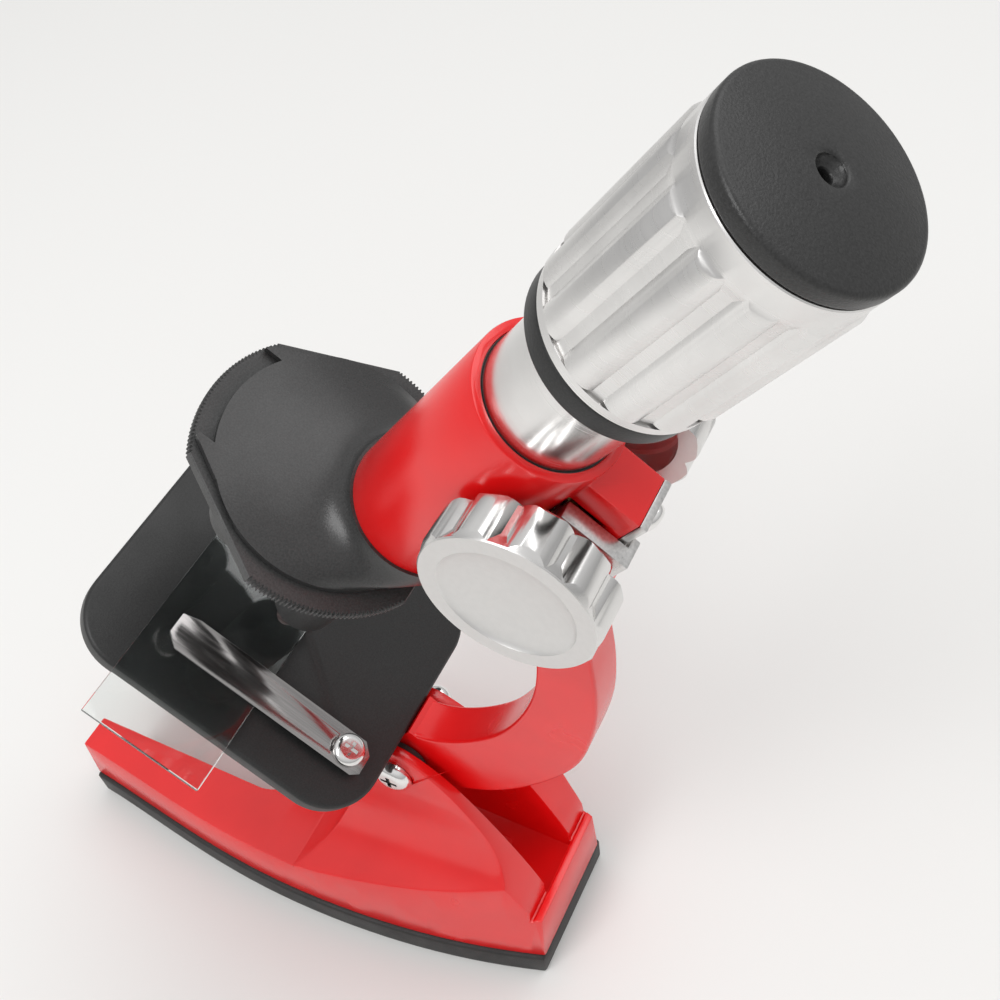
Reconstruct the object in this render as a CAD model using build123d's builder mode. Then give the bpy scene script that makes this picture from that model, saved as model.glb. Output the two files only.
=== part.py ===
from build123d import *
import os
from math import cos, radians, sin

os.makedirs("parts", exist_ok=True)

# ---- driving dimensions, millimetres ----
# frame: +Z up, +X towards the near focus knob, +Y towards the eyepiece side,
# origin on the table under the middle of the base; the head leans back by TILT at rest
TILT = 37.3
AXIS_Y = 6.4            # where the tube axis meets the stage top
STAGE_Z = 91.8
PIVOT_Y = 30.5          # inclination hinge
PIVOT_Z = 61.0
FIT = 0.05              # radial clearance of a running fit
GAP = 0.3               # clearance between neighbours that move past each other

# base
BASE_BACK = 63.0
BASE_SIDE = [(19.8, -63.0), (22.3, -43.0), (24.5, -25.0), (25.6, -8.0), (25.2, 12.0),
             (23.2, 31.0), (19.9, 48.0), (15.6, 63.0)]
PLATE_T = 8.0
PRONG_TOP = 21.0
PRONG_SLOT_R = 9.3      # half width of the opening between the prongs
SLOT_END_Y = -15.0
CHEEK_IN = 6.3
CHEEK_OUT = 9.0
CHEEK_R = 6.6
CHANNEL_Z = 21.5
LIP_Z = 24.8             # low wall closing the channel at the back
BOLT_R = 2.0

# arm and its head
ARM_HALF = 4.5
HEAD_HALF = 9.6
HEAD_LO = 70.0
HEAD_HI = 96.4
BRACKET_HALF = 7.8
BRACKET_BACK = 22.9
BRACKET_TOP = 98.2

# stage
STAGE_HALF = 28.2
STAGE_FRONT = -32.9
STAGE_BACK = 33.2
STAGE_T = 4.5
STAGE_CORNER = 11.5
STAGE_HOLE_R = 2.0
SLIDE_L = 76.2
SLIDE_W = 25.4
SLIDE_T = 1.1
SLIDE_A = -7.8
CLIP_S = 15.65
CLIP_W = 7.5
CLIP_SCREW_A = 24.5
CLIP_TIP_A = -16.4
CLIP_H = 1.25
CLIP_T = 0.6

# body tube and focus drive
TUBE_R = 11.75
TUBE_BORE = 10.25
TUBE_LO = 65.0
TUBE_HI = 106.7
BLOCK_HALF = 4.55
BLOCK_BACK = 20.0
BLOCK_LO = 70.0
BLOCK_HI = 103.0
KNOB_A = 12.0           # focus shaft, behind the tube axis
KNOB_H = 93.4
SHAFT_R = 0.9
SHAFT_END = 18.6
PINION_R = 1.5
BUSH_R = 1.6
BUSH_IN = 6.1
SHAFT_BOSS_R = 2.8
SLOT_LO = 80.9           # slot in the tube's block that clears the shaft over the travel
SLOT_HI = 98.0
SLOT_FRONT = 10.8
SLOT_BACK = 17.5
KNOB_FLOOR_R = 12.4     # bottom of the flutes
KNOB_CREST_R = 13.7     # crest of the ten rounded lobes
KNOB_FACE_R = 13.1
KNOB_IN = 13.6
KNOB_OUT = 21.05
KNOB_LOBES = 10
LOBE_R = 4.2
LOBE_START = 108.5

# nosepiece
TURRET_A = -13.0
TURRET_R = 23.4
TURRET_FLAT = 20.8
DISC_LO = 54.5
DISC_HI = 56.8
COVER_LO = 57.1
COVER_HI = 58.2
COVER_R = 19.9
OBJ_R = 6.3
OBJ_BORE = 3.4
OBJ_BOTTOM = [11.0, 48.0, 30.0]

# eyepiece
DRAW_R = 10.0
RING_R = 12.7
RING_LO = 121.9
RING_HI = 125.6
GRIP_RING_R = 13.1      # smooth rings below and above the lands
GRIP_FLOOR_R = 12.6
GRIP_CREST_R = 13.65
GRIP_LO = 127.8
GRIP_HI = 152.9
GRIP_LANDS = 12
LAND_R = 3.0
LAND_START = 13.7
CAP_LO = 156.4
CAP_HI = 159.2
CAP_R = 13.1
CAP_TIP = 160.1          # the cap's top rises a little towards the eye hole
EYE_CUP_R = 2.0
EYE_HOLE_R = 0.9

AXIAL = Vector(0, sin(radians(TILT)), cos(radians(TILT)))
ACROSS = Vector(0, cos(radians(TILT)), -sin(radians(TILT)))
HEAD = Plane(origin=(0, AXIS_Y, STAGE_Z), x_dir=(1, 0, 0), z_dir=AXIAL)
TUBE_AXIS = Axis(HEAD.origin, AXIAL)
TURRET_AXIS = Axis(HEAD.origin + ACROSS * TURRET_A, AXIAL)


def head(height, across=0.0, aside=0.0):
    """Plane square to the tube axis: x aside, y across, at a height above the stage top."""
    return Plane(HEAD.from_local_coords(Vector(aside, across, height)), HEAD.x_dir, HEAD.z_dir)


def side(aside):
    """Upright plane of the head: x across, y along the tube axis, normal +X."""
    return Plane(HEAD.origin + Vector(aside, 0, 0), x_dir=ACROSS, z_dir=(1, 0, 0))


def pivot_plane(aside):
    """Plane square to the hinge bolt, centred on it."""
    return Plane((aside, PIVOT_Y, PIVOT_Z), x_dir=(0, 1, 0), z_dir=(1, 0, 0))


def knob_plane(aside):
    """Plane square to the focus shaft, centred on it."""
    return Plane(side(aside).from_local_coords(Vector(KNOB_A, KNOB_H, 0)), ACROSS, (1, 0, 0))


def cut_prong_slot(half):
    """Take the round-ended opening between the prongs out of a plan of the base."""
    with Locations((0, (SLOT_END_Y - BASE_BACK) / 2 - 5)):
        Rectangle(2 * half, SLOT_END_Y + BASE_BACK + 10, mode=Mode.SUBTRACT)
    with Locations((0, SLOT_END_Y)):
        Circle(half, mode=Mode.SUBTRACT)


def pan_screw(seat, radius, height, shank_r, shank_l):
    """Cross-recess screw with a domed head; seat is the plane under the head, normal out of it."""
    with BuildPart() as screw:
        with BuildSketch(seat):
            Circle(radius)
        extrude(amount=height)
        fillet(screw.faces().sort_by(Axis(seat.origin, seat.z_dir))[-1].edges(), radius=0.7 * height)
        with BuildSketch(seat):
            Circle(shank_r)
        extrude(amount=-shank_l)
        with BuildSketch(seat.offset(0.5 * height)):
            Rectangle(0.9 * radius, 0.22 * radius)
            Rectangle(0.22 * radius, 0.9 * radius)
        extrude(amount=height, mode=Mode.SUBTRACT)
    return screw.part


with BuildSketch() as base_plan:
    with BuildLine():
        Spline(*BASE_SIDE)
        Line(BASE_SIDE[-1], (-BASE_SIDE[-1][0], BASE_BACK))
        Spline(*[(-x, y) for x, y in reversed(BASE_SIDE)])
        Line((-BASE_SIDE[0][0], BASE_SIDE[0][1]), BASE_SIDE[0])
    make_face()

# ---- base: black plate, red shell with two hinge cheeks ----
BASE_SCREWS = [(15.0, -52.0), (-15.0, -52.0), (10.5, 50.0), (-10.5, 50.0)]

with BuildPart() as base_plate:
    with BuildSketch():
        add(base_plan.sketch)
        cut_prong_slot(PRONG_SLOT_R)
    extrude(amount=PLATE_T)
    chamfer(base_plate.edges().group_by(Axis.Z)[0], length=0.6)
    chamfer(base_plate.edges().group_by(Axis.Z)[-1], length=0.5)
    with Locations(*[(x, y, 0) for x, y in BASE_SCREWS]):
        Cylinder(3.0, 2.2, align=(Align.CENTER, Align.CENTER, Align.MIN), mode=Mode.SUBTRACT)
        Cylinder(1.6, PLATE_T, align=(Align.CENTER, Align.CENTER, Align.MIN), mode=Mode.SUBTRACT)

# outer walls lean in as they rise
DRAFT = [(0, 0.9), (64, 5.4)]
with BuildPart() as walls:
    for rise, inset in DRAFT:
        with BuildSketch(Plane.XY.offset(PLATE_T + rise)):
            with BuildLine():
                Spline(*[(x - inset, y) for x, y in BASE_SIDE])
                Line((BASE_SIDE[-1][0] - inset, BASE_BACK), (inset - BASE_SIDE[-1][0], BASE_BACK))
                Spline(*[(inset - x, y) for x, y in reversed(BASE_SIDE)])
                Line((inset - BASE_SIDE[0][0], BASE_SIDE[0][1]), (BASE_SIDE[0][0] - inset, BASE_SIDE[0][1]))
            make_face()
    loft()

# cheek silhouette from the side; the flanks flare out to a crease that climbs towards the back
FLANK = [(24.6, 4.2), (22.8, 5.4), (18.2, 7.6), (13.9, 11.0), (10.9, 16.4), (9.4, 26.0), (8.9, 38.0),
         (8.5, 50.0), (8.3, 64.0)]
CREASE_SLOPE = 0.22
with BuildPart() as cheeks:
    with BuildSketch(Plane.YZ):
        with BuildLine():
            front_curve = Spline((-2, 16.6), (4, 21.2), (9.6, 26.2), (13.8, 34.0), (18.6, 45.4), (24.3, 58.8))
            crown = ThreePointArc(front_curve @ 1, (PIVOT_Y - 1.2, PIVOT_Z + 6.49), (34.2, 66.45))
            back_curve = Spline(crown @ 1, (40.6, 61.6), (46.9, 53.4), (52.3, 44.5), (57.0, 35.5), (60.4, 27.8))
            Polyline(back_curve @ 1, (60.4, 10), (-2, 10), front_curve @ 0)
        make_face()
    extrude(amount=30, both=True)
    with BuildSketch(Plane.XZ.offset(70)):
        with BuildLine():
            flank = Spline(*FLANK)
            far_flank = Spline(*[(-x, z) for x, z in FLANK])
            Line(flank @ 1, far_flank @ 1)
            Polyline(flank @ 0, (FLANK[0][0], -20), (-FLANK[0][0], -20), far_flank @ 0)
        make_face()
    extrude(amount=150, dir=(0, 1, CREASE_SLOPE), mode=Mode.INTERSECT)

with BuildPart() as low_block:
    with BuildSketch(Plane.YZ):
        Polygon((-70, 4), (-70, PRONG_TOP), (4, PRONG_TOP), (6, 22), (38, 27), (49, 31.5), (56.2, 36.0),
                (60.2, 27.0), (60.2, 24.0), (61.2, 24.0), (61.2, LIP_Z), (70, LIP_Z), (70, 4), align=None)
    extrude(amount=28, both=True)

# hollow under the deck, open at the bottom, with bosses for the rear screws
CAVITY_TOP = 18.0
CAVITY_SIDE = [(17.2, -46.0), (19.4, -25.0), (20.4, -8.0), (20.1, 12.0), (18.2, 31.0), (15.4, 46.0), (12.8, 58.0)]
with BuildPart() as cavity:
    with BuildSketch(Plane.XY.offset(PLATE_T - 2)):
        Polygon(*CAVITY_SIDE, *[(-x, y) for x, y in reversed(CAVITY_SIDE)], align=None)
        cut_prong_slot(PRONG_SLOT_R + 3.6)
        with Locations(*BASE_SCREWS[2:]):
            Circle(3.4, mode=Mode.SUBTRACT)
    extrude(amount=CAVITY_TOP - PLATE_T + 2)

with BuildPart() as base_shell:
    add(cheeks.part)
    add(low_block.part)
    add(walls.part, mode=Mode.INTERSECT)
    with BuildSketch():
        with Locations((0, SLOT_END_Y - 50)):
            Rectangle(2 * PRONG_SLOT_R + 1.2, 100)
        with Locations((0, SLOT_END_Y)):
            Circle(PRONG_SLOT_R + 0.6)
    extrude(amount=60, mode=Mode.SUBTRACT)
    with BuildSketch(Plane.XY.offset(CHANNEL_Z)):
        with Locations((0, (61.0 - 12) / 2)):
            Rectangle(2 * CHEEK_IN, 61.0 + 12)
    extrude(amount=60, mode=Mode.SUBTRACT)
    add(cavity.part, mode=Mode.SUBTRACT)
    with BuildSketch(Plane.XY.offset(PLATE_T)):
        with Locations(*BASE_SCREWS):
            Circle(1.4)
    extrude(amount=9.0, mode=Mode.SUBTRACT)
    for flip in (1, -1):
        with BuildSketch(pivot_plane(flip * CHEEK_IN)):
            Circle(4.4)
        extrude(amount=flip * (CHEEK_OUT - CHEEK_IN))
    with BuildSketch(pivot_plane(-CHEEK_OUT)):
        Circle(BOLT_R + FIT)
    extrude(amount=2 * CHEEK_OUT, mode=Mode.SUBTRACT)

base_screw_solids = [pan_screw(Plane((x, y, 2.2), z_dir=(0, 0, -1)), 2.8, 1.5, 1.35, 13.0)
                     for x, y in BASE_SCREWS]
with BuildPart() as base_screws:
    add(base_screw_solids)

# ---- inclination hinge: domed bolt, cap nut, spacing washers ----
hinge_bolt_solid = pan_screw(pivot_plane(CHEEK_OUT), 4.2, 2.8, BOLT_R, 2 * CHEEK_OUT)
with BuildPart() as hinge_bolt:
    add(hinge_bolt_solid)

with BuildPart() as hinge_nut:
    with BuildSketch(pivot_plane(-CHEEK_OUT)):
        Circle(3.0)
    extrude(amount=-3.0)
    fillet(hinge_nut.edges().filter_by(GeomType.CIRCLE).sort_by(Axis.X)[0], radius=1.8)

with BuildPart() as hinge_washers:
    for flip in (1, -1):
        with BuildSketch(pivot_plane(flip * (ARM_HALF + GAP))):
            Circle(5.0)
            Circle(BOLT_R + FIT, mode=Mode.SUBTRACT)
        extrude(amount=flip * (CHEEK_IN - ARM_HALF - GAP))

# ---- arm: foot on the hinge, C limb, head round the focus bracket ----
INNER = [(34.7, 0.2), (36.6, 2.1), (39.3, 7.1), (41.5, 15.2), (42.3, 23.5), (41.6, 31.0), (39.7, 39.0),
         (36.5, 47.3), (32.3, 54.6), (28.0, 61.0), (24.6, 67.0)]
OUTER = [(27.2, 80.0), (31.0, 73.5), (35.9, 66.9), (40.2, 61.9), (44.6, 56.1), (48.5, 50.0), (51.9, 43.0),
         (54.7, 35.8), (56.2, 27.8), (56.6, 18.0), (55.9, 8.0), (54.2, 0.0), (51.8, -6.1), (48.0, -12.5),
         (43.5, -16.8), (38.0, -18.2)]

TONGUE_H = -8.8         # underside of the tongue that carries the stage
STAGE_SCREWS = [(17.2, -12.6), (26.8, TONGUE_H)]    # across, height of the seat under the head

with BuildPart() as arm:
    with BuildSketch(side(0)):
        with BuildLine():
            inner_line = Spline(*INNER)
            outer_line = Spline(*OUTER)
            Polyline(inner_line @ 1, (23.2, 72.0), (23.2, 82.0), outer_line @ 0)
            Polyline(outer_line @ 1, (32.5, -15.5), (29.0, TONGUE_H), (14.0, TONGUE_H), (14.0, -STAGE_T),
                     (33.5, -STAGE_T), (33.5, 0.2), inner_line @ 0)
        make_face()
    extrude(amount=ARM_HALF, both=True)
    fillet(arm.edges().filter_by(lambda e: e.length > 60), radius=0.7)
    with BuildSketch(side(0)):
        with BuildLine():
            Polyline((12.0, HEAD_LO), (12.0, HEAD_HI), (21.5, HEAD_HI), (26.6, 85.0), (26.6, 78.0),
                     (24.0, HEAD_LO), (12.0, HEAD_LO))
        make_face()
    extrude(amount=HEAD_HALF, both=True)
    with BuildSketch(side(0)):
        with Locations((BRACKET_BACK / 2, 85)):
            Rectangle(BRACKET_BACK, 50)
    extrude(amount=BRACKET_HALF, both=True, mode=Mode.SUBTRACT)
    for flip in (1, -1):
        with BuildSketch(knob_plane(flip * BRACKET_HALF)):
            Circle(SHAFT_BOSS_R)
        extrude(amount=flip * (HEAD_HALF - BRACKET_HALF))
    with BuildSketch(knob_plane(-HEAD_HALF - 1)):
        Circle(BUSH_R)
    extrude(amount=2 * HEAD_HALF + 2, mode=Mode.SUBTRACT)
    with BuildSketch(pivot_plane(-CHEEK_OUT)):
        Circle(BOLT_R + FIT)
    extrude(amount=2 * CHEEK_OUT, mode=Mode.SUBTRACT)
    with BuildSketch(head(TONGUE_H)):
        with Locations(*[(0, across) for across, _ in STAGE_SCREWS]):
            Circle(1.5)
    extrude(amount=5, mode=Mode.SUBTRACT)

with BuildPart() as focus_bracket:
    with BuildSketch(head(HEAD_LO + 1)):
        with Locations((0, (11.2 + BRACKET_BACK) / 2)):
            Rectangle(2 * BRACKET_HALF, BRACKET_BACK - 11.2)
        with Locations((0, (BLOCK_BACK + 1.2 + GAP) / 2)):
            Rectangle(2 * (BLOCK_HALF + GAP), BLOCK_BACK + 1.2 + GAP, mode=Mode.SUBTRACT)
    extrude(amount=BRACKET_TOP - HEAD_LO - 1)
    with BuildSketch(side(0)):
        with Locations((BRACKET_BACK, 95)):
            Rectangle(4, 13)
    extrude(amount=2.9, both=True, mode=Mode.SUBTRACT)
    with BuildSketch(knob_plane(-BRACKET_HALF)):
        Circle(BUSH_R)
    extrude(amount=2 * BRACKET_HALF, mode=Mode.SUBTRACT)

with BuildPart() as shaft_bushes:
    for flip in (1, -1):
        with BuildSketch(knob_plane(flip * BUSH_IN)):
            Circle(BUSH_R)
            Circle(SHAFT_R + FIT, mode=Mode.SUBTRACT)
        extrude(amount=flip * (HEAD_HALF + 0.4 - BUSH_IN))

# ---- stage, clip, slide ----
with BuildPart() as stage_plate:
    with BuildSketch(head(-STAGE_T)):
        with Locations((0, (STAGE_BACK + STAGE_FRONT) / 2)):
            RectangleRounded(2 * STAGE_HALF, STAGE_BACK - STAGE_FRONT, STAGE_CORNER)
        Circle(STAGE_HOLE_R, mode=Mode.SUBTRACT)
    extrude(amount=STAGE_T)
    chamfer(stage_plate.faces().sort_by(TUBE_AXIS)[-1].outer_wire().edges(), length=0.6)
    fillet(stage_plate.faces().sort_by(TUBE_AXIS)[0].outer_wire().edges(), radius=0.8)
    with BuildSketch(head(0)):
        with Locations((CLIP_S, CLIP_SCREW_A)):
            Circle(1.25)
    extrude(amount=-3.6, mode=Mode.SUBTRACT)
    with BuildSketch(head(-STAGE_T)):
        with Locations(*[(0, across) for across, _ in STAGE_SCREWS]):
            Circle(1.25)
    extrude(amount=3.0, mode=Mode.SUBTRACT)

stage_screw_solids = [pan_screw(Plane(head(seat, across).origin, z_dir=-AXIAL), 2.0, 1.5, 1.2, -2.0 - seat)
                      for across, seat in STAGE_SCREWS]
with BuildPart() as stage_screws:
    add(stage_screw_solids)

with BuildPart() as clip_spacer:
    with BuildSketch(head(0, CLIP_SCREW_A, CLIP_S)):
        Circle(3.0)
        Circle(1.35, mode=Mode.SUBTRACT)
    extrude(amount=CLIP_H)

clip_screw_solid = pan_screw(head(CLIP_H + CLIP_T + 0.05, CLIP_SCREW_A, CLIP_S), 3.3, 1.9, 1.2, 5.2)
with BuildPart() as clip_screw:
    add(clip_screw_solid)

# pointed tip at the front, cropped round end at the screw
CLIP_EDGE = CLIP_S + CLIP_W / 2
CLIP_PLAN = [(CLIP_EDGE - 2.2, CLIP_TIP_A), (CLIP_EDGE, CLIP_TIP_A + 2.6), (CLIP_EDGE, 27.3),
             (CLIP_EDGE - 1.2, 28.9), (CLIP_EDGE - CLIP_W + 2.2, 28.9), (CLIP_EDGE - CLIP_W, 26.8),
             (CLIP_EDGE - CLIP_W, CLIP_TIP_A + 3.6), (CLIP_EDGE - CLIP_W + 0.9, CLIP_TIP_A)]

with BuildPart() as stage_clip:
    with BuildSketch(head(CLIP_H)):
        Polygon(*CLIP_PLAN, align=None)
        with Locations((CLIP_S, CLIP_SCREW_A)):
            Circle(1.25, mode=Mode.SUBTRACT)
    extrude(amount=CLIP_T)

with BuildPart() as glass_slide:
    with BuildSketch(head(0.05, SLIDE_A)):
        Rectangle(SLIDE_L, SLIDE_W)
    extrude(amount=SLIDE_T)
    chamfer(glass_slide.edges(), length=0.12)

# ---- mirror under the stage ----
MIRROR_A = -1.0
MIRROR_H = -32.0
MIRROR_R = 11.0
YOKE_IN = 12.2
YOKE_OUT = 14.0

with BuildPart() as mirror_yoke:
    with BuildSketch(side(0)):
        Polygon((14.2, -12.6), (24.4, -12.6), (24.4, TONGUE_H), (14.2, TONGUE_H), align=None)
        Polygon((20.6, -12.6), (24.4, -12.6), (18.5, -32.0), (14.8, -32.0), align=None)
    extrude(amount=3.5, both=True)
    with BuildSketch(side(0)):
        Polygon((14.5, -34.2), (18.5, -34.2), (18.5, -29.8), (14.5, -29.8), align=None)
    extrude(amount=YOKE_OUT, both=True)
    for flip in (1, -1):
        with BuildSketch(side(flip * YOKE_IN)):
            Polygon((-3.2, -34.2), (18.5, -34.2), (18.5, -29.8), (-3.2, -29.8), align=None)
        extrude(amount=flip * (YOKE_OUT - YOKE_IN))
    with BuildSketch(Plane(side(-YOKE_OUT).from_local_coords(Vector(MIRROR_A, MIRROR_H, 0)), ACROSS, (1, 0, 0))):
        Circle(1.0 + FIT)
    extrude(amount=2 * YOKE_OUT, mode=Mode.SUBTRACT)
    with BuildSketch(head(TONGUE_H, STAGE_SCREWS[0][0])):
        Circle(1.25)
    extrude(amount=-4, mode=Mode.SUBTRACT)

MIRROR_TILT = 28.0
mirror_face = Plane(HEAD.from_local_coords(Vector(0, MIRROR_A, MIRROR_H)), (1, 0, 0),
                    AXIAL.rotate(Axis.X, MIRROR_TILT))

with BuildPart() as mirror_frame:
    with BuildSketch(mirror_face.offset(-1.4)):
        Circle(MIRROR_R)
    extrude(amount=2.8)
    with BuildSketch(Plane(mirror_face.origin - Vector(YOKE_OUT - 0.2, 0, 0), z_dir=(1, 0, 0))):
        Circle(1.0)
    extrude(amount=2 * YOKE_OUT - 0.4)
    with BuildSketch(mirror_face.offset(-0.2)):
        Circle(MIRROR_R - 1.2)
    extrude(amount=2, mode=Mode.SUBTRACT)

with BuildPart() as mirror_glass:
    with BuildSketch(mirror_face.offset(-0.2)):
        Circle(MIRROR_R - 1.25)
    extrude(amount=1.2)

# ---- body tube, focus drive ----
with BuildPart() as body_tube:
    with BuildSketch(head(TUBE_LO)):
        Circle(TUBE_R)
    extrude(amount=TUBE_HI - TUBE_LO)
    with BuildSketch(head(BLOCK_LO)):
        with Locations((0, BLOCK_BACK / 2)):
            Rectangle(2 * BLOCK_HALF, BLOCK_BACK)
    extrude(amount=BLOCK_HI - BLOCK_LO)
    with BuildSketch(side(0)):
        with Locations(((SLOT_FRONT + SLOT_BACK) / 2, (SLOT_LO + SLOT_HI) / 2)):
            Rectangle(SLOT_BACK - SLOT_FRONT, SLOT_HI - SLOT_LO)
    extrude(amount=12, both=True, mode=Mode.SUBTRACT)
    with BuildSketch(side(0)):
        with Locations((KNOB_A - 0.4, (SLOT_LO + SLOT_HI) / 2)):
            Rectangle(4.1, SLOT_HI - SLOT_LO)
    extrude(amount=2.1, both=True, mode=Mode.SUBTRACT)
    with BuildSketch(head(TUBE_LO)):
        Circle(TUBE_BORE)
    extrude(amount=TUBE_HI - TUBE_LO, mode=Mode.SUBTRACT)
    with BuildSketch(Plane(head(100.2, BLOCK_BACK).origin, (1, 0, 0), ACROSS)):
        Circle(1.05)
    extrude(amount=-2.6, mode=Mode.SUBTRACT)

with BuildPart() as draw_liner:
    with BuildSketch(head(TUBE_HI - 11.0)):
        Circle(TUBE_BORE)
        Circle(DRAW_R + FIT, mode=Mode.SUBTRACT)
    extrude(amount=10.5)

with BuildPart() as gib_plate:
    with BuildSketch(head(BLOCK_LO)):
        with Locations((0, BLOCK_BACK + 0.6)):
            Rectangle(2 * BLOCK_HALF, 1.2)
    extrude(amount=BLOCK_HI - BLOCK_LO)
    with BuildSketch(Plane(head(100.2, BLOCK_BACK).origin, (1, 0, 0), ACROSS)):
        Circle(1.05)
    extrude(amount=2, mode=Mode.SUBTRACT)

gib_screw_solid = pan_screw(Plane(head(100.2, BLOCK_BACK + 1.2).origin, (1, 0, 0), ACROSS), 2.3, 1.5, 1.0, 3.6)
with BuildPart() as gib_screw:
    add(gib_screw_solid)

RACK_TIP = KNOB_A + PINION_R + FIT
TOOTH_PITCH = 1.07
with BuildPart() as rack:
    with BuildSketch(side(0)):
        Polygon((RACK_TIP + 0.5, SLOT_LO + 0.2), (SLOT_BACK, SLOT_LO + 0.2), (SLOT_BACK, SLOT_HI - 0.2),
                (RACK_TIP + 0.5, SLOT_HI - 0.2), align=None)
        with Locations(*[(RACK_TIP + 0.4, SLOT_LO + 0.9 + TOOTH_PITCH * i) for i in range(15)]):
            Trapezoid(0.8, 0.8, 72, rotation=90)
    extrude(amount=2.0, both=True)

with BuildPart() as pinion:
    with BuildSketch(knob_plane(-1.9)):
        Circle(PINION_R - 0.35)
        with PolarLocations(PINION_R - 0.35, 9):
            Rectangle(0.7, 0.36)
        Circle(PINION_R, mode=Mode.INTERSECT)
        Circle(SHAFT_R, mode=Mode.SUBTRACT)
    extrude(amount=3.8)

with BuildPart() as focus_shaft:
    with BuildSketch(knob_plane(-SHAFT_END)):
        Circle(SHAFT_R)
    extrude(amount=2 * SHAFT_END)


KNOB_AXIS = Axis(knob_plane(0).origin, (1, 0, 0))
knob_section = Plane(knob_plane(0).origin, x_dir=(1, 0, 0), z_dir=AXIAL)

with BuildPart() as lobe_limit:
    with BuildSketch(knob_section):
        Polygon((KNOB_IN, KNOB_FLOOR_R - 0.4), (KNOB_IN, KNOB_CREST_R - 0.4), (KNOB_IN + 0.6, KNOB_CREST_R + 0.1),
                (KNOB_OUT - 1.4, KNOB_CREST_R + 0.1), (KNOB_OUT - 0.2, KNOB_FACE_R),
                (KNOB_OUT - 0.2, KNOB_FLOOR_R - 0.4), align=None)
    revolve(axis=KNOB_AXIS)

with BuildPart() as lobes:
    with BuildSketch(knob_plane(KNOB_IN)):
        with PolarLocations(KNOB_CREST_R - LOBE_R, KNOB_LOBES, start_angle=LOBE_START):
            Circle(LOBE_R)
    extrude(amount=KNOB_OUT - KNOB_IN)
    add(lobe_limit.part, mode=Mode.INTERSECT)

with BuildPart() as knob_near:
    with BuildSketch(knob_section):
        Polygon((KNOB_IN, 0), (KNOB_IN, KNOB_FLOOR_R - 0.3), (KNOB_IN + 0.3, KNOB_FLOOR_R),
                (KNOB_OUT - 2.3, KNOB_FLOOR_R), (KNOB_OUT - 0.2, KNOB_FACE_R), (KNOB_OUT, KNOB_FACE_R - 0.2),
                (KNOB_OUT, 10.25), (KNOB_OUT - 0.3, 9.95), (KNOB_OUT - 0.7, 9.1), (KNOB_OUT - 1.1, 7.6),
                (KNOB_OUT - 1.4, 5.6), (KNOB_OUT - 1.6, 3.0), (KNOB_OUT - 1.65, 0), align=None)
    revolve(axis=KNOB_AXIS)
    add(lobes.part)
    with BuildSketch(knob_section):
        Polygon((KNOB_IN - 1, 3.6), (KNOB_IN - 1, 10.4), (KNOB_IN, 10.4), (KNOB_IN + 3.8, 9.9),
                (KNOB_IN + 4.2, 9.4), (KNOB_IN + 4.2, 3.6), align=None)
    revolve(axis=KNOB_AXIS, mode=Mode.SUBTRACT)
    with BuildSketch(knob_plane(HEAD_HALF + 0.7)):
        Circle(3.6)
    extrude(amount=KNOB_IN - HEAD_HALF)
    with BuildSketch(knob_plane(HEAD_HALF)):
        Circle(SHAFT_R)
    extrude(amount=SHAFT_END - HEAD_HALF, mode=Mode.SUBTRACT)

with BuildPart() as knob_far:
    mirror(knob_near.part, about=Plane.YZ)

# ---- nosepiece: bell cover, turret disc, objectives ----
with BuildPart() as nosepiece_cover:
    for height, across, radius in ((COVER_HI, TURRET_A, COVER_R), (59.6, -9.2, 17.6), (61.6, -4.2, 14.8),
                                   (64.2, -0.8, 12.8), (66.4, 0, 12.25)):
        with BuildSketch(head(height, across)):
            Circle(radius)
    loft()
    with BuildSketch(head(COVER_LO, TURRET_A)):
        Circle(22.8)
        with Locations((0, 4)):
            Rectangle(50, 36, mode=Mode.SUBTRACT)
        Rectangle(19.0, 60, mode=Mode.SUBTRACT)
        Circle(COVER_R)
        for angle in (-32, 212):
            with Locations(Location((0, 0), angle)):
                with Locations((COVER_R - 0.4 + 10, 0)):
                    Rectangle(20, 60, mode=Mode.SUBTRACT)
    extrude(amount=COVER_HI - COVER_LO)
    with BuildSketch(head(TUBE_LO)):
        Circle(TUBE_R)
    extrude(amount=3, mode=Mode.SUBTRACT)
    with BuildSketch(head(COVER_LO)):
        Circle(8.5)
    extrude(amount=12, mode=Mode.SUBTRACT)
    with BuildSketch(head(COVER_LO, TURRET_A)):
        Circle(2.0)
    extrude(amount=2.2, mode=Mode.SUBTRACT)

with BuildPart() as turret_disc:
    with BuildSketch(head(DISC_LO, TURRET_A)):
        Circle(TURRET_R)
        for angle in (-30, 90, 210):
            with Locations(Location((0, 0), angle)):
                with Locations((TURRET_FLAT + 10, 0)):
                    Rectangle(20, 60, mode=Mode.SUBTRACT)
        Circle(2.0 + FIT, mode=Mode.SUBTRACT)
        with PolarLocations(-TURRET_A, 3, start_angle=90):
            Circle(5.0, mode=Mode.SUBTRACT)
    extrude(amount=DISC_HI - DISC_LO)

turret_screw_solid = pan_screw(Plane(head(DISC_LO - 0.1, TURRET_A).origin, (1, 0, 0), -AXIAL), 4.0, 1.8, 2.0, 4.6)
with BuildPart() as turret_screw:
    add(turret_screw_solid)


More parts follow.
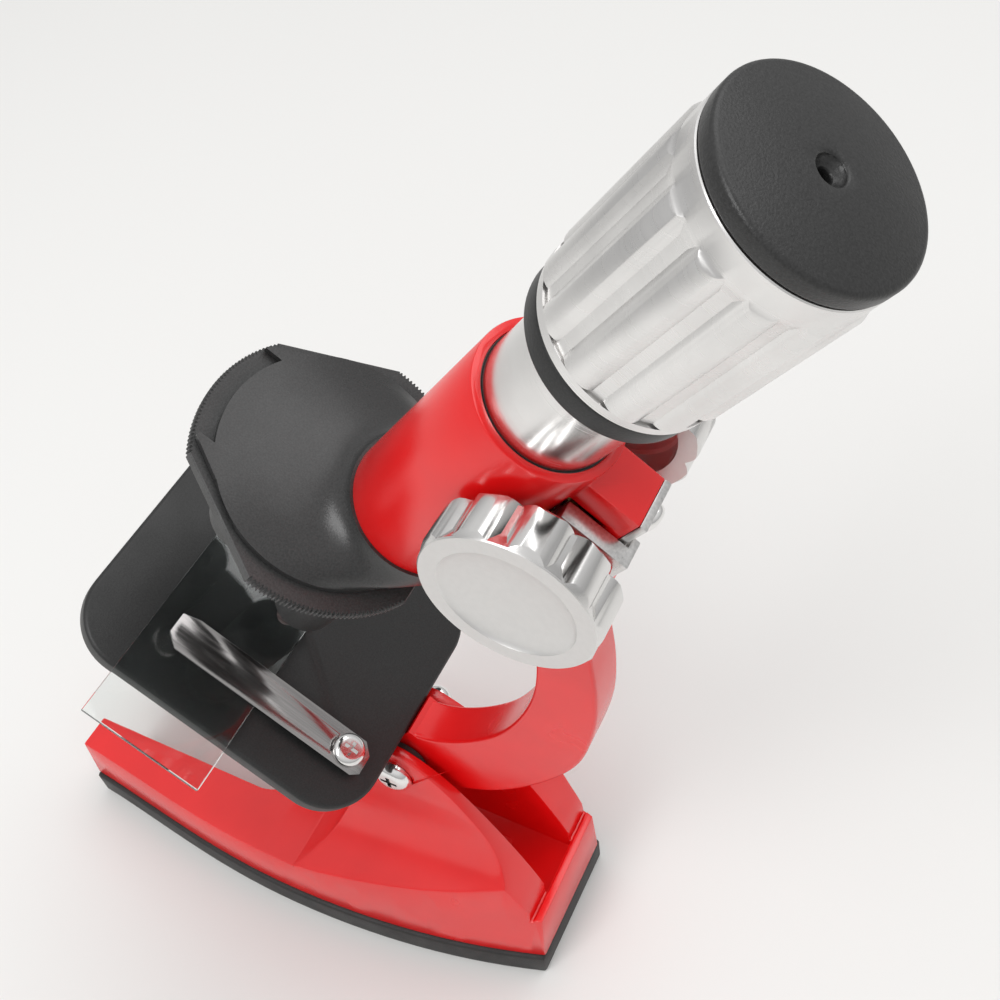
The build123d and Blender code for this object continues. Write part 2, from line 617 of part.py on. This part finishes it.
def objective(index, bottom):
    """Stepped objective barrel screwed into the turret disc, open along its axis."""
    angle = radians(90 + 120 * index)
    across = TURRET_A - TURRET_A * sin(angle)
    aside = -TURRET_A * cos(angle)
    with BuildPart() as barrel:
        with BuildSketch(head(bottom, across, aside)):
            Circle(OBJ_R)
        extrude(amount=DISC_LO - bottom)
        chamfer(barrel.faces().sort_by(TUBE_AXIS)[0].edges(), length=0.8)
        with BuildSketch(head(DISC_LO - 4.0, across, aside)):
            Circle(OBJ_R + 0.3)
        extrude(amount=4.0)
        with BuildSketch(head(DISC_LO, across, aside)):
            Circle(5.0)
        extrude(amount=DISC_HI - DISC_LO)
        with BuildSketch(head(bottom, across, aside)):
            Circle(2.4)
        extrude(amount=60, mode=Mode.SUBTRACT)
        with BuildSketch(head(bottom + 1.0, across, aside)):
            Circle(OBJ_BORE)
        extrude(amount=60, mode=Mode.SUBTRACT)
    with BuildPart() as lens:
        with BuildSketch(head(bottom + 1.0, across, aside)):
            Circle(OBJ_BORE - 0.02)
        extrude(amount=1.6)
        fillet(lens.faces().sort_by(TUBE_AXIS)[-1].edges(), radius=0.8)
    return barrel.part, lens.part


high_solids = objective(0, OBJ_BOTTOM[0])
mid_solids = objective(1, OBJ_BOTTOM[2])
low_solids = objective(2, OBJ_BOTTOM[1])
with BuildPart() as objective_high:
    add(high_solids[0])
with BuildPart() as objective_mid:
    add(mid_solids[0])
with BuildPart() as objective_low:
    add(low_solids[0])
with BuildPart() as objective_lenses:
    add([high_solids[1], mid_solids[1], low_solids[1]])

# ---- eyepiece ----
with BuildPart() as draw_tube:
    with BuildSketch(head(84.0)):
        Circle(DRAW_R)
    extrude(amount=142.0 - 84.0)
    with BuildSketch(head(84.0)):
        Circle(DRAW_R - 1.0)
    extrude(amount=60, mode=Mode.SUBTRACT)
    with BuildSketch(head(84.0)):
        Circle(DRAW_R - 0.5)
    extrude(amount=3.0, mode=Mode.SUBTRACT)

with BuildPart() as field_lens:
    with BuildSketch(head(85.0)):
        Circle(DRAW_R - 0.52)
    extrude(amount=2.0)
    fillet(field_lens.faces().sort_by(TUBE_AXIS)[0].edges(), radius=0.9)

with BuildPart() as stop_ring:
    with BuildSketch(head(RING_LO)):
        Circle(RING_R)
        Circle(DRAW_R, mode=Mode.SUBTRACT)
    extrude(amount=RING_HI - RING_LO)
    chamfer(stop_ring.edges().filter_by(GeomType.CIRCLE).filter_by(lambda e: e.radius > 12), length=0.35)

with BuildPart() as land_limit:
    with BuildSketch(side(0)):
        Polygon((GRIP_FLOOR_R - 0.4, GRIP_LO), (GRIP_CREST_R - 0.3, GRIP_LO), (GRIP_CREST_R + 0.1, GRIP_LO + 0.4),
                (GRIP_CREST_R + 0.1, GRIP_HI - 1.2), (GRIP_RING_R, GRIP_HI + 0.1),
                (GRIP_FLOOR_R - 0.4, GRIP_HI + 0.1), align=None)
    revolve(axis=TUBE_AXIS)

with BuildPart() as lands:
    with BuildSketch(head(GRIP_LO)):
        with PolarLocations(GRIP_CREST_R - LAND_R, GRIP_LANDS, start_angle=LAND_START):
            Circle(LAND_R)
    extrude(amount=GRIP_HI - GRIP_LO + 0.1)
    add(land_limit.part, mode=Mode.INTERSECT)

with BuildPart() as zoom_grip:
    with BuildSketch(side(0)):
        Polygon((9.0, RING_HI + GAP), (GRIP_RING_R - 0.2, RING_HI + GAP), (GRIP_RING_R, RING_HI + GAP + 0.2),
                (GRIP_RING_R, GRIP_LO - 0.35), (GRIP_RING_R - 0.7, GRIP_LO - 0.35), (GRIP_RING_R - 0.7, GRIP_LO),
                (GRIP_FLOOR_R, GRIP_LO), (GRIP_FLOOR_R, GRIP_HI - 1.9), (GRIP_RING_R, GRIP_HI),
                (GRIP_RING_R, CAP_LO - 0.15), (GRIP_RING_R - 0.15, CAP_LO), (9.0, CAP_LO), align=None)
    revolve(axis=TUBE_AXIS)
    add(lands.part)
    with BuildSketch(head(RING_HI)):
        Circle(DRAW_R + GAP)
    extrude(amount=20, mode=Mode.SUBTRACT)

with BuildPart() as eye_lens:
    with BuildSketch(head(148.0)):
        Circle(8.98)
    extrude(amount=3.2)
    fillet(eye_lens.faces().sort_by(TUBE_AXIS)[-1].edges(), radius=1.4)

with BuildPart() as eye_cap:
    with BuildSketch(side(0)):
        with BuildLine():
            Polyline((EYE_HOLE_R, CAP_LO), (CAP_R - 0.4, CAP_LO), (CAP_R, CAP_LO + 0.4), (CAP_R, CAP_HI - 0.4),
                     (CAP_R - 0.4, CAP_HI), (4.0, CAP_TIP), (EYE_CUP_R, CAP_TIP), (EYE_CUP_R - 0.2, CAP_TIP - 0.5),
                     (EYE_HOLE_R + 0.3, CAP_TIP - 1.1), (EYE_HOLE_R, CAP_TIP - 1.3), (EYE_HOLE_R, CAP_LO))
        make_face()
    revolve(axis=TUBE_AXIS)

PARTS = {
    "base_shell": base_shell, "base_plate": base_plate, "base_screws": base_screws,
    "hinge_bolt": hinge_bolt, "hinge_nut": hinge_nut, "hinge_washers": hinge_washers,
    "arm": arm, "focus_bracket": focus_bracket, "shaft_bushes": shaft_bushes,
    "stage_plate": stage_plate, "stage_screws": stage_screws, "clip_spacer": clip_spacer,
    "clip_screw": clip_screw, "stage_clip": stage_clip, "glass_slide": glass_slide,
    "mirror_yoke": mirror_yoke, "mirror_frame": mirror_frame, "mirror_glass": mirror_glass,
    "body_tube": body_tube, "draw_liner": draw_liner, "gib_plate": gib_plate, "gib_screw": gib_screw,
    "rack": rack, "pinion": pinion, "focus_shaft": focus_shaft,
    "knob_near": knob_near, "knob_far": knob_far,
    "nosepiece_cover": nosepiece_cover, "turret_disc": turret_disc, "turret_screw": turret_screw,
    "objective_high": objective_high, "objective_mid": objective_mid, "objective_low": objective_low,
    "objective_lenses": objective_lenses,
    "draw_tube": draw_tube, "field_lens": field_lens, "stop_ring": stop_ring,
    "zoom_grip": zoom_grip, "eye_lens": eye_lens, "eye_cap": eye_cap,
}
for name, sub in PARTS.items():
    sub.part.label = name
    export_step(sub.part, f"parts/{name}.step")
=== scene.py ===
import bmesh
import bpy
import math
from mathutils import Matrix, Vector


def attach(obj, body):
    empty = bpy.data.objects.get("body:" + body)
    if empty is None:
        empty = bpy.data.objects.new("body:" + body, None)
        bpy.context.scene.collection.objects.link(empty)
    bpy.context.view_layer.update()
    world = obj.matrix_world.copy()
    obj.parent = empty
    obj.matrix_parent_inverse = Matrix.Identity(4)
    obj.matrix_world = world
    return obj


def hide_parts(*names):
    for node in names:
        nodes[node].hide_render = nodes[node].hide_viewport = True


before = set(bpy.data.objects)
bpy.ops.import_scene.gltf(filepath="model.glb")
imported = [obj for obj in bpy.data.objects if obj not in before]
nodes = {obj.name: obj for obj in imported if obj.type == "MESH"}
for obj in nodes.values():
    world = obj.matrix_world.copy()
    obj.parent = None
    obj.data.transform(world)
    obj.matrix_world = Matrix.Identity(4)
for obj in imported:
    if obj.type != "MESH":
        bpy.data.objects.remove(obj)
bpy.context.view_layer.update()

# the head's frame: x aside, y across, z along the tube, from the middle of the stage top
TILT = math.radians(37.3)
STAGE_MIDDLE = (0, 0.0064, 0.0918)
HEAD = Matrix.Translation(STAGE_MIDDLE) @ Matrix.Rotation(-TILT, 4, "X")
TUBE_CENTRE = HEAD.translation
ALONG_TUBE = (HEAD.to_3x3() @ Vector((0, 0, 1))).normalized()

MERGE_GAP = 0.000001       # points closer than this become one, in metres
SMOOTH_ANGLE = math.radians(32)
BEVEL_ANGLE = math.radians(35)
FLAT_ANGLE = math.radians(0.3)
RING_SPIN = 3.0            # how fast a turned mark changes round its axis


# ---- material building ----
class Finish:
    """A node material around one Principled shader."""

    def __init__(self, name, base, roughness, **values):
        self.material = bpy.data.materials.new(name)
        self.material.use_nodes = True
        self.tree = self.material.node_tree
        self.shader = self.tree.nodes["Principled BSDF"]
        self.base = base
        self.roughness = roughness
        self.set("Base Color", (*base, 1))
        self.set("Roughness", roughness)
        for socket, value in values.items():
            self.set(socket.replace("_", " "), value)
        self.height = None

    def set(self, socket, value):
        self.shader.inputs[socket].default_value = value

    def link(self, source, target):
        self.tree.links.new(source, target)

    def node(self, kind, **settings):
        made = self.tree.nodes.new(kind)
        for key, value in settings.items():
            setattr(made, key, value)
        return made

    def coordinates(self, in_head=False, scale=(1, 1, 1)):
        """Position on the piece in metres, along the row's axes or the head's, stretched by scale."""
        vector = self.node("ShaderNodeTexCoord").outputs["Object"]
        if in_head:
            turn = self.node("ShaderNodeMapping")
            turn.inputs["Rotation"].default_value = (TILT, 0, 0)
            turn.inputs["Location"].default_value = HEAD.inverted().translation
            self.link(vector, turn.inputs["Vector"])
            vector = turn.outputs["Vector"]
        stretch = self.node("ShaderNodeMapping")
        stretch.inputs["Scale"].default_value = scale
        self.link(vector, stretch.inputs["Vector"])
        return stretch.outputs["Vector"]

    def around_tube(self, rate):
        """Coordinates for marks turned round the tube: fine along it and outwards, slow round it."""
        vector = self.node("ShaderNodeTexCoord").outputs["Object"]
        shift = self.node("ShaderNodeVectorMath", operation="SUBTRACT")
        shift.inputs[1].default_value = TUBE_CENTRE
        self.link(vector, shift.inputs[0])
        along = self.node("ShaderNodeVectorMath", operation="DOT_PRODUCT")
        along.inputs[1].default_value = ALONG_TUBE
        self.link(shift.outputs["Vector"], along.inputs[0])
        flat = self.node("ShaderNodeVectorMath", operation="CROSS_PRODUCT")
        flat.inputs[1].default_value = ALONG_TUBE
        self.link(shift.outputs["Vector"], flat.inputs[0])
        radius = self.node("ShaderNodeVectorMath", operation="LENGTH")
        self.link(flat.outputs["Vector"], radius.inputs[0])
        direction = self.node("ShaderNodeVectorMath", operation="NORMALIZE")
        self.link(flat.outputs["Vector"], direction.inputs[0])
        slow = self.node("ShaderNodeVectorMath", operation="SCALE")
        slow.inputs["Scale"].default_value = RING_SPIN
        self.link(direction.outputs["Vector"], slow.inputs[0])
        total = self.node("ShaderNodeMath", operation="ADD")
        self.link(along.outputs["Value"], total.inputs[0])
        self.link(radius.outputs["Value"], total.inputs[1])
        fast = self.node("ShaderNodeMath", operation="MULTIPLY")
        fast.inputs[1].default_value = rate
        self.link(total.outputs["Value"], fast.inputs[0])
        joined = self.node("ShaderNodeVectorMath", operation="ADD")
        push = self.node("ShaderNodeCombineXYZ")
        self.link(fast.outputs["Value"], push.inputs["X"])
        self.link(slow.outputs["Vector"], joined.inputs[0])
        self.link(push.outputs["Vector"], joined.inputs[1])
        return joined.outputs["Vector"]

    def noise(self, vector, scale, detail, roughness=0.5):
        made = self.node("ShaderNodeTexNoise")
        made.inputs["Scale"].default_value = scale
        made.inputs["Detail"].default_value = detail
        made.inputs["Roughness"].default_value = roughness
        self.link(vector, made.inputs["Vector"])
        return made.outputs["Fac"]

    def spread(self, factor, low, high, start=0.2, stop=0.8):
        made = self.node("ShaderNodeMapRange", interpolation_type="SMOOTHSTEP")
        made.inputs["From Min"].default_value = start
        made.inputs["From Max"].default_value = stop
        made.inputs["To Min"].default_value = low
        made.inputs["To Max"].default_value = high
        self.link(factor, made.inputs["Value"])
        return made.outputs["Result"]

    def vary_roughness(self, factor, swing):
        varied = self.spread(factor, self.roughness - swing, self.roughness + swing)
        self.link(varied, self.shader.inputs["Roughness"])

    def vary_colour(self, factor, low, high):
        mix = self.node("ShaderNodeMix", data_type="RGBA")
        mix.inputs[6].default_value = (*[c * low for c in self.base], 1)
        mix.inputs[7].default_value = (*[min(1, c * high) for c in self.base], 1)
        self.link(self.spread(factor, 0, 1), mix.inputs[0])
        self.link(mix.outputs[2], self.shader.inputs["Base Color"])

    def relief(self, factor, depth):
        """Add a bump of a depth in metres on top of any earlier one."""
        bump = self.node("ShaderNodeBump")
        bump.inputs["Distance"].default_value = depth
        bump.inputs["Strength"].default_value = 1.0
        self.link(factor, bump.inputs["Height"])
        if self.height is not None:
            self.link(self.height, bump.inputs["Normal"])
        self.height = bump.outputs["Normal"]
        self.link(self.height, self.shader.inputs["Normal"])


def red_plastic(name, circular=False):
    """Glossy painted red with fine marks and slight unevenness."""
    made = Finish(name, (0.8, 0.004, 0.005), 0.25, Specular_IOR_Level=0.8)
    cloud = made.noise(made.coordinates(), 70, 2)
    made.vary_colour(cloud, 0.95, 1.05)
    made.vary_roughness(cloud, 0.03)
    made.relief(made.noise(made.coordinates(), 2600, 2), 0.000008)
    if circular:
        streaks = made.noise(made.coordinates(True, (60, 60, 5200)), 1, 3)
        made.relief(streaks, 0.000012)
    return made.material


def black_plastic(name, value=0.034, roughness=0.45, grain=0.00004):
    """Matte black with a fine sandy grain."""
    made = Finish(name, (value, value, value), roughness, Specular_IOR_Level=0.5)
    speckle = made.noise(made.coordinates(), 3400, 2, 0.6)
    cloud = made.noise(made.coordinates(), 120, 3)
    made.vary_colour(speckle, 0.7, 1.5)
    made.vary_roughness(cloud, 0.06)
    made.relief(speckle, grain)
    return made.material


def turned_metal(name, value, roughness, rate, swing=0.06, depth=0.000006):
    """Metal with fine rings round the tube's axis."""
    made = Finish(name, value, roughness, Metallic=1.0)
    rings = made.noise(made.around_tube(rate), 1, 3)
    cloud = made.noise(made.coordinates(), 160, 3)
    made.vary_colour(cloud, 0.94, 1.03)
    made.vary_roughness(rings, swing)
    made.relief(rings, depth)
    return made.material


def brushed_metal(name, value, roughness, scale, swing=0.1, depth=0.00001):
    """Metal brushed along one axis of the head's frame: the one whose scale is small."""
    made = Finish(name, value, roughness, Metallic=1.0)
    strokes = made.noise(made.coordinates(True, scale), 1, 4)
    made.vary_colour(strokes, 0.8, 1.05)
    made.vary_roughness(strokes, swing)
    made.relief(strokes, depth)
    return made.material


def knob_metal(name, value):
    """Chrome lobes with a satin face: surfaces that face sideways are rougher."""
    made = Finish(name, value, 0.2, Metallic=1.0)
    split = made.node("ShaderNodeSeparateXYZ")
    made.link(made.node("ShaderNodeTexCoord").outputs["Normal"], split.inputs["Vector"])
    facing = made.node("ShaderNodeMath", operation="ABSOLUTE")
    made.link(split.outputs["X"], facing.inputs[0])
    satin = made.spread(facing.outputs["Value"], 0.17, 0.5, 0.55, 0.85)
    made.link(satin, made.shader.inputs["Roughness"])
    made.vary_colour(made.noise(made.coordinates(), 900, 2), 0.985, 1.015)
    made.relief(made.noise(made.coordinates(), 5200, 2), 0.000004)
    return made.material


def clear_glass(name, tint):
    made = Finish(name, tint, 0.02, Transmission_Weight=1.0, IOR=1.5)
    cloud = made.noise(made.coordinates(), 60, 2)
    made.vary_roughness(cloud, 0.012)
    made.relief(made.noise(made.coordinates(), 400, 1), 0.000002)
    return made.material


RED = red_plastic("red_gloss_paint")
RED_TUBE = red_plastic("red_gloss_tube", circular=True)
BLACK = black_plastic("black_matte")
BLACK_FINE = black_plastic("black_fine", 0.014, 0.45, 0.00003)
BLACK_PLATE = black_plastic("black_foot", 0.015, 0.55, 0.00005)
BLACK_SATIN = black_plastic("black_satin", 0.026, 0.3, 0.00002)
BLACK_CAP = black_plastic("black_cap", 0.02, 0.38, 0.00005)
CHROME = turned_metal("chrome_screw", (0.86, 0.85, 0.84), 0.14, 6000, 0.04, 0.000003)
CHROME_KNOB = knob_metal("chrome_knob", (0.73, 0.72, 0.71))
SILVER_TUBE = turned_metal("silver_tube", (0.78, 0.77, 0.76), 0.24, 8000, 0.04, 0.000003)
SILVER_GRIP = turned_metal("silver_grip", (0.8, 0.79, 0.78), 0.3, 7000, 0.04, 0.000003)
SILVER_PLATE = brushed_metal("silver_plate", (0.78, 0.77, 0.76), 0.32, (2000, 2000, 80), 0.05,
                             0.000002)
STEEL_CLIP = brushed_metal("steel_clip", (0.4, 0.385, 0.38), 0.18, (2600, 60, 2600), 0.05,
                           0.000004)
STEEL = turned_metal("steel_screw", (0.7, 0.69, 0.68), 0.26, 6000)
BRASS = brushed_metal("brass", (0.8, 0.58, 0.26), 0.3, (3000, 200, 3000))
GLASS = clear_glass("clear_glass", (0.93, 0.97, 0.96))
MIRROR = turned_metal("mirror_silver", (0.93, 0.94, 0.95), 0.04, 300, 0.01, 0.0000005)

FINISH = {
    RED: ["base_shell", "arm"],
    RED_TUBE: ["body_tube"],
    BLACK_SATIN: ["nosepiece_cover"],
    BLACK: ["objective_high", "objective_mid", "objective_low", "mirror_yoke",
            "mirror_frame", "hinge_washers", "clip_spacer", "draw_liner"],
    BLACK_FINE: ["stage_plate", "stop_ring"],
    BLACK_PLATE: ["base_plate"],
    BLACK_CAP: ["eye_cap"],
    CHROME: ["hinge_bolt", "hinge_nut", "gib_screw", "clip_screw", "turret_screw"],
    CHROME_KNOB: ["knob_near", "knob_far"],
    SILVER_TUBE: ["draw_tube"],
    SILVER_GRIP: ["zoom_grip"],
    SILVER_PLATE: ["focus_bracket", "gib_plate"],
    STEEL_CLIP: ["stage_clip"],
    STEEL: ["base_screws", "stage_screws", "focus_shaft"],
    BRASS: ["pinion", "rack", "shaft_bushes"],
    GLASS: ["glass_slide", "eye_lens", "field_lens", "objective_lenses"],
    MIRROR: ["mirror_glass"],
}
for finish, names in FINISH.items():
    for name in names:
        for slot in nodes[name].material_slots:
            slot.material = finish


# ---- smooth shading and softened edges on the carried-over nodes ----
def shading_group():
    """Node group that joins the mesh, drops stored normals and shades smooth below an angle."""
    group = bpy.data.node_groups.new("smooth_below_angle", "GeometryNodeTree")
    group.is_modifier = True
    group.interface.new_socket("Geometry", in_out="INPUT", socket_type="NodeSocketGeometry")
    group.interface.new_socket("Geometry", in_out="OUTPUT", socket_type="NodeSocketGeometry")
    start = group.nodes.new("NodeGroupInput")
    end = group.nodes.new("NodeGroupOutput")
    weld = group.nodes.new("GeometryNodeMergeByDistance")
    weld.inputs["Distance"].default_value = MERGE_GAP
    clear = group.nodes.new("GeometryNodeRemoveAttribute")
    clear.inputs["Name"].default_value = "custom_normal"
    faces = group.nodes.new("GeometryNodeSetShadeSmooth")
    edges = group.nodes.new("GeometryNodeSetShadeSmooth")
    edges.domain = "EDGE"
    bend = group.nodes.new("GeometryNodeInputMeshEdgeAngle")
    flat = group.nodes.new("FunctionNodeCompare")
    flat.data_type = "FLOAT"
    flat.operation = "LESS_THAN"
    flat.inputs["B"].default_value = SMOOTH_ANGLE
    link = group.links.new
    link(start.outputs[0], weld.inputs["Geometry"])
    link(weld.outputs["Geometry"], clear.inputs["Geometry"])
    link(clear.outputs["Geometry"], faces.inputs["Geometry"])
    link(faces.outputs["Geometry"], edges.inputs["Geometry"])
    link(bend.outputs["Unsigned Angle"], flat.inputs["A"])
    link(flat.outputs["Result"], edges.inputs["Shade Smooth"])
    link(edges.outputs["Geometry"], end.inputs[0])
    return group


SMOOTH = shading_group()
# bevel width in metres, and the nodes it softens
BEVELS = {
    0.0004: ["base_shell", "base_plate", "body_tube"],
    0.00025: ["stage_plate", "focus_bracket", "gib_plate", "stop_ring", "eye_cap", "mirror_yoke"],
    0.00012: ["stage_clip", "gib_screw"],
}
for width, names in BEVELS.items():
    for name in names:
        piece = nodes[name]
        weld = piece.modifiers.new("join", "WELD")
        weld.merge_threshold = MERGE_GAP
        merge = piece.modifiers.new("merge_flats", "DECIMATE")
        merge.decimate_type = "DISSOLVE"
        merge.angle_limit = FLAT_ANGLE
        soften = piece.modifiers.new("soft_edges", "BEVEL")
        soften.width = width
        soften.segments = 2
        soften.limit_method = "ANGLE"
        soften.angle_limit = BEVEL_ANGLE
        soften.use_clamp_overlap = False
for piece in nodes.values():
    shade = piece.modifiers.new("smooth", "NODES")
    shade.node_group = SMOOTH


# ---- turret disc with its knurled edge, measured in the head's frame ----
DISC_CENTRE = -0.013
DISC_R = 0.0234
DISC_FLAT = 0.0208         # from the disc's centre to each flat
FLAT_FACES = (-30, 90, 210)
DISC_LOW = 0.0545
DISC_HIGH = 0.0568
DISC_CHAMFER = 0.00025
TEETH = 208                # round the whole edge, as if there were no flats
TOOTH_STEPS = 4            # points along the edge for each tooth
TOOTH_DEPTH = 0.0004
SCREW_HOLE_R = 0.00205
OBJECTIVE_HOLE_R = 0.005
OBJECTIVE_PITCH_R = 0.013
HOLE_STEPS = 48


def disc_reach(angle):
    """Distance from the disc's centre to its edge: round, with three flats."""
    reach = DISC_R
    for middle in FLAT_FACES:
        facing = math.cos(angle - math.radians(middle))
        if facing > 0:
            reach = min(reach, DISC_FLAT / facing)
    return reach


def edge_ring(mesh, height, inset):
    """A ring of points along the disc's edge, with a notch after each tooth on the round parts."""
    count = TEETH * TOOTH_STEPS
    ring = []
    for step in range(count):
        angle = math.tau * step / count
        reach = disc_reach(angle)
        if reach == DISC_R and step % TOOTH_STEPS >= TOOTH_STEPS / 2:
            reach -= TOOTH_DEPTH
        reach -= inset
        place = (reach * math.cos(angle), DISC_CENTRE + reach * math.sin(angle), height)
        ring.append(mesh.verts.new(place))
    return ring


def hole_ring(mesh, x, y, size, height):
    """A ring of points round a hole."""
    ring = []
    for step in range(HOLE_STEPS):
        angle = math.tau * step / HOLE_STEPS
        place = (x + size * math.cos(angle), y + size * math.sin(angle), height)
        ring.append(mesh.verts.new(place))
    return ring


def wall(mesh, first, second):
    """Faces between two rings with as many points."""
    for step, corner in enumerate(first):
        after = (step + 1) % len(first)
        mesh.faces.new((corner, first[after], second[after], second[step]))


def lid(mesh, rings):
    """A flat face bounded by the first ring, with the other rings as holes."""
    edges = []
    for ring in rings:
        for step, corner in enumerate(ring):
            edges.append(mesh.edges.get((corner, ring[(step + 1) % len(ring)])))
    bmesh.ops.triangle_fill(mesh, edges=edges, use_beauty=True, use_dissolve=False)


def turret_disc():
    """Thin disc with fine teeth on its round parts, and holes for its screw and three objectives."""
    mesh = bmesh.new()
    levels = [(DISC_LOW, DISC_CHAMFER), (DISC_LOW + DISC_CHAMFER, 0),
              (DISC_HIGH - DISC_CHAMFER, 0), (DISC_HIGH, DISC_CHAMFER)]
    rings = [edge_ring(mesh, height, inset) for height, inset in levels]
    for lower, upper in zip(rings, rings[1:]):
        wall(mesh, lower, upper)
    holes = [(0, DISC_CENTRE, SCREW_HOLE_R)]
    for step in range(3):
        angle = math.radians(90 + 120 * step)
        x = OBJECTIVE_PITCH_R * math.cos(angle)
        y = DISC_CENTRE + OBJECTIVE_PITCH_R * math.sin(angle)
        holes.append((x, y, OBJECTIVE_HOLE_R))
    bottom = [rings[0]]
    top = [rings[-1]]
    for x, y, size in holes:
        bottom.append(hole_ring(mesh, x, y, size, DISC_LOW))
        top.append(hole_ring(mesh, x, y, size, DISC_HIGH))
        wall(mesh, top[-1], bottom[-1])
    lid(mesh, bottom)
    lid(mesh, top)
    bmesh.ops.recalc_face_normals(mesh, faces=mesh.faces)
    data = bpy.data.meshes.new("turret_disc_knurled")
    mesh.transform(HEAD)
    mesh.to_mesh(data)
    mesh.free()
    piece = bpy.data.objects.new("turret_disc_knurled", data)
    bpy.context.collection.objects.link(piece)
    data.materials.append(BLACK)
    shade = piece.modifiers.new("smooth", "NODES")
    shade.node_group = SMOOTH
    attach(piece, "turret")
    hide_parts("turret_disc")


turret_disc()


# ---- floor, light, camera ----
FLOOR_HALF = 30.0
LIGHT_TARGET = (0, 0.02, 0.1)
SKY_STRENGTH = 0.78
SKY_LOW = 0.5              # the sky's grey at the horizon
SKY_TOP_AT = 0.7           # where on the way up it turns white
LENS = 45.813
CAMERA_PLACE = (0.100678, 0.126860, 0.293647)
CAMERA_RIGHT = (-0.44283, 0.89080, -0.10188)
CAMERA_AHEAD = (-0.54005, -0.35571, -0.76277)


def floor():
    data = bpy.data.meshes.new("floor")
    corners = [(-FLOOR_HALF, -FLOOR_HALF, 0), (FLOOR_HALF, -FLOOR_HALF, 0),
               (FLOOR_HALF, FLOOR_HALF, 0), (-FLOOR_HALF, FLOOR_HALF, 0)]
    data.from_pydata(corners, [], [(0, 1, 2, 3)])
    piece = bpy.data.objects.new("floor", data)
    bpy.context.collection.objects.link(piece)
    made = Finish("pale_floor", (0.83, 0.825, 0.81), 0.75, Specular_IOR_Level=0.2)
    made.vary_colour(made.noise(made.coordinates(), 1.5, 2), 0.99, 1.01)
    data.materials.append(made.material)


def area_light(name, place, size, power):
    """A rectangular light that faces the object."""
    data = bpy.data.lights.new(name, "AREA")
    data.shape = "RECTANGLE"
    data.size, data.size_y = size
    data.energy = power
    light = bpy.data.objects.new(name, data)
    light.location = place
    light.rotation_mode = "QUATERNION"
    light.rotation_quaternion = (Vector(LIGHT_TARGET) - Vector(place)).to_track_quat("-Z", "Y")
    bpy.context.collection.objects.link(light)


def studio():
    """A white sky that greys towards the horizon, and two soft lights."""
    world = bpy.data.worlds.new("studio")
    bpy.context.scene.world = world
    world.use_nodes = True
    tree = world.node_tree
    back = tree.nodes["Background"]
    split = tree.nodes.new("ShaderNodeSeparateXYZ")
    place = tree.nodes.new("ShaderNodeTexCoord")
    ramp = tree.nodes.new("ShaderNodeValToRGB")
    tree.links.new(place.outputs["Generated"], split.inputs["Vector"])
    tree.links.new(split.outputs["Z"], ramp.inputs["Fac"])
    tree.links.new(ramp.outputs["Color"], back.inputs["Color"])
    stops = ramp.color_ramp.elements
    stops[0].position = 0.0
    stops[0].color = (SKY_LOW, SKY_LOW, SKY_LOW, 1)
    stops[1].position = SKY_TOP_AT
    stops[1].color = (1, 1, 1, 1)
    back.inputs["Strength"].default_value = SKY_STRENGTH
    area_light("key", (-0.4, 0.2, 1.0), (0.9, 0.7), 2.8)
    area_light("front", (0.55, -0.15, 0.85), (0.35, 0.6), 3.2)


def camera():
    data = bpy.data.cameras.new("camera")
    data.sensor_width = 36
    data.lens = LENS
    data.clip_start = 0.01
    data.clip_end = 100
    piece = bpy.data.objects.new("camera", data)
    ahead = Vector(CAMERA_AHEAD).normalized()
    up = Vector(CAMERA_RIGHT).cross(ahead).normalized()
    turned = Matrix((ahead.cross(up), up, -ahead)).transposed().to_4x4()
    piece.matrix_world = Matrix.Translation(CAMERA_PLACE) @ turned
    bpy.context.collection.objects.link(piece)
    bpy.context.scene.camera = piece


floor()
studio()
camera()
bpy.context.scene.view_settings.view_transform = "Standard"
